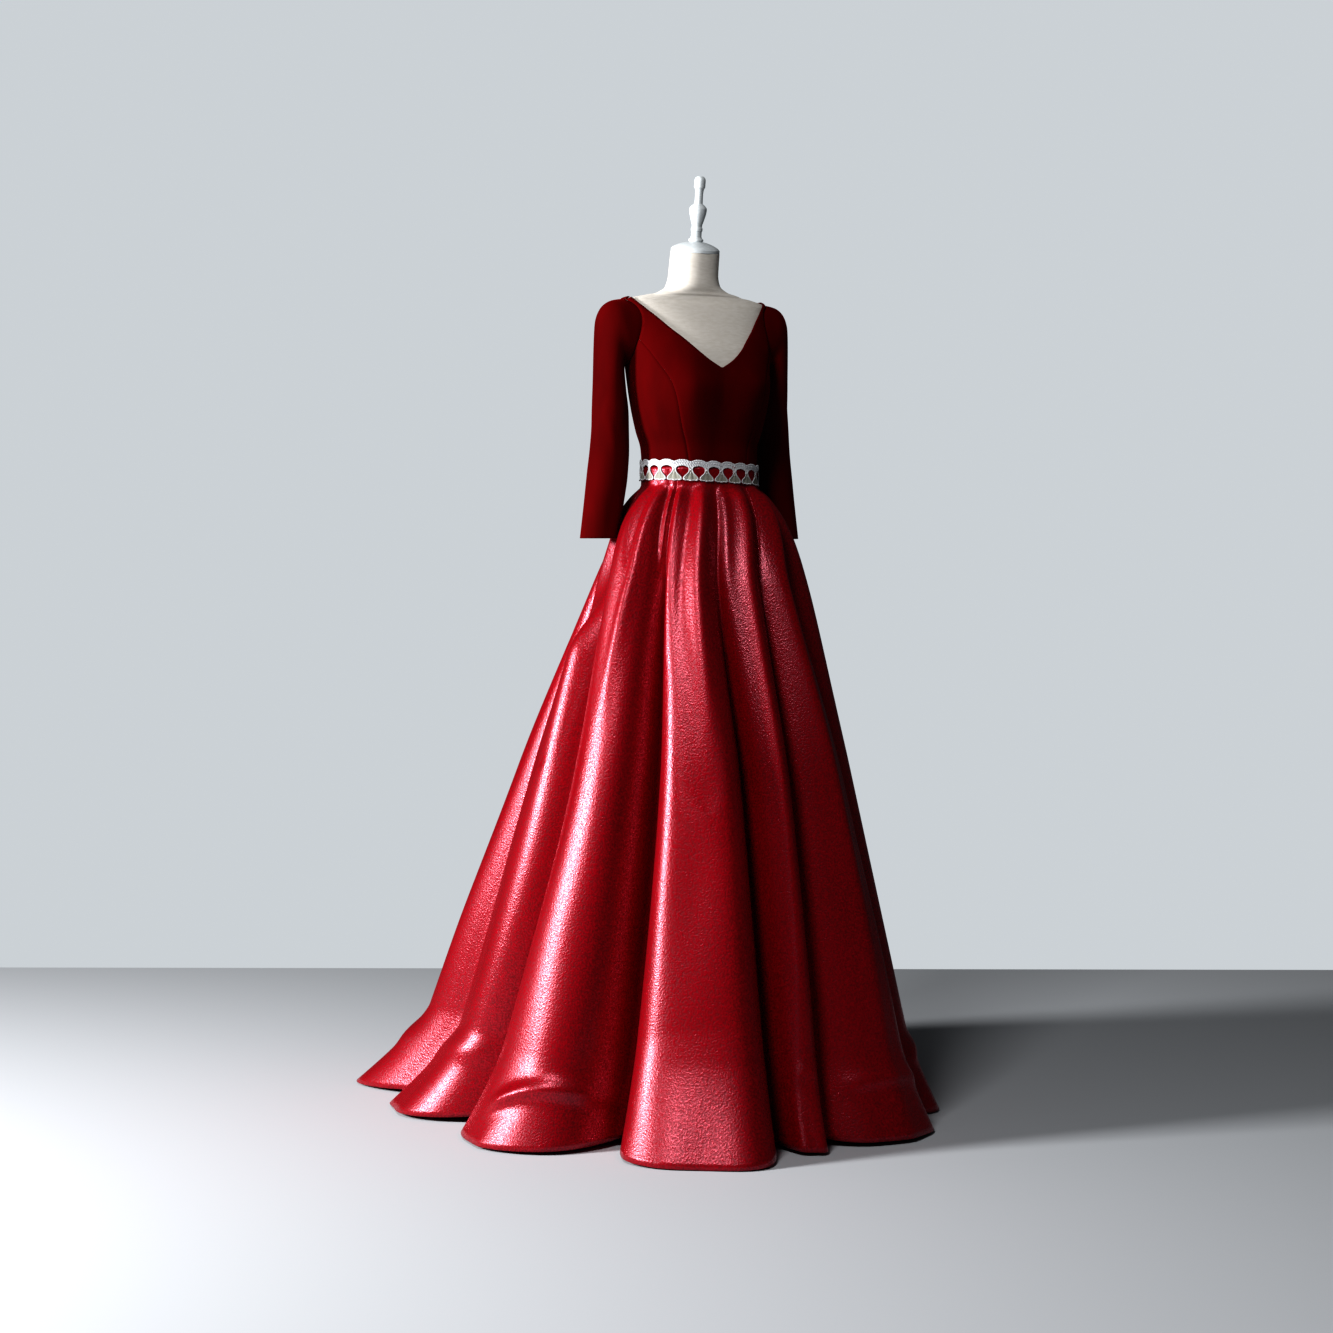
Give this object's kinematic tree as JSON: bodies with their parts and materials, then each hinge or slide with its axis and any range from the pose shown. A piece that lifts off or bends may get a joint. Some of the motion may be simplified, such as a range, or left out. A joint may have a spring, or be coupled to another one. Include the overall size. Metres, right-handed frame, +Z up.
{
  "type": "ball gown on a dress form",
  "caption": "Floor-length gown with a V-neck velvet bodice, fitted sleeves, lace belt and folded satin skirt, standing on a limbless dress form.",
  "frame": {"origin": "centre of the stand's base, on the floor", "axes": "+Z up along the pole, -Y towards the gown's front, +X towards the wearer's left"},
  "size_m": [1.0773, 1.2712, 1.7691],
  "materials": {
    "velvet": "matte",
    "satin": "satin",
    "lace": "satin",
    "zip": "matte",
    "linen": "matte",
    "turned_wood": "satin",
    "stand": "satin"
  },
  "bodies": {
    "root": {"form_torso": "linen", "form_neck_cap": "turned_wood", "form_finial": "turned_wood", "form_pole": "stand", "form_base": "stand", "bodice_centre_front": "velvet", "bodice_side_front_left": "velvet", "bodice_side_front_right": "velvet", "bodice_back_left": "velvet", "bodice_back_right": "velvet", "back_zip": "zip", "sleeve_right": "velvet", "sleeve_left": "velvet", "skirt_back_right": "satin", "skirt_side_right": "satin", "skirt_front": "satin", "skirt_side_left": "satin", "skirt_side_back_left": "satin", "skirt_back_left": "satin", "belt_right": "lace", "belt_left": "lace"}
  },
  "joints": []
}
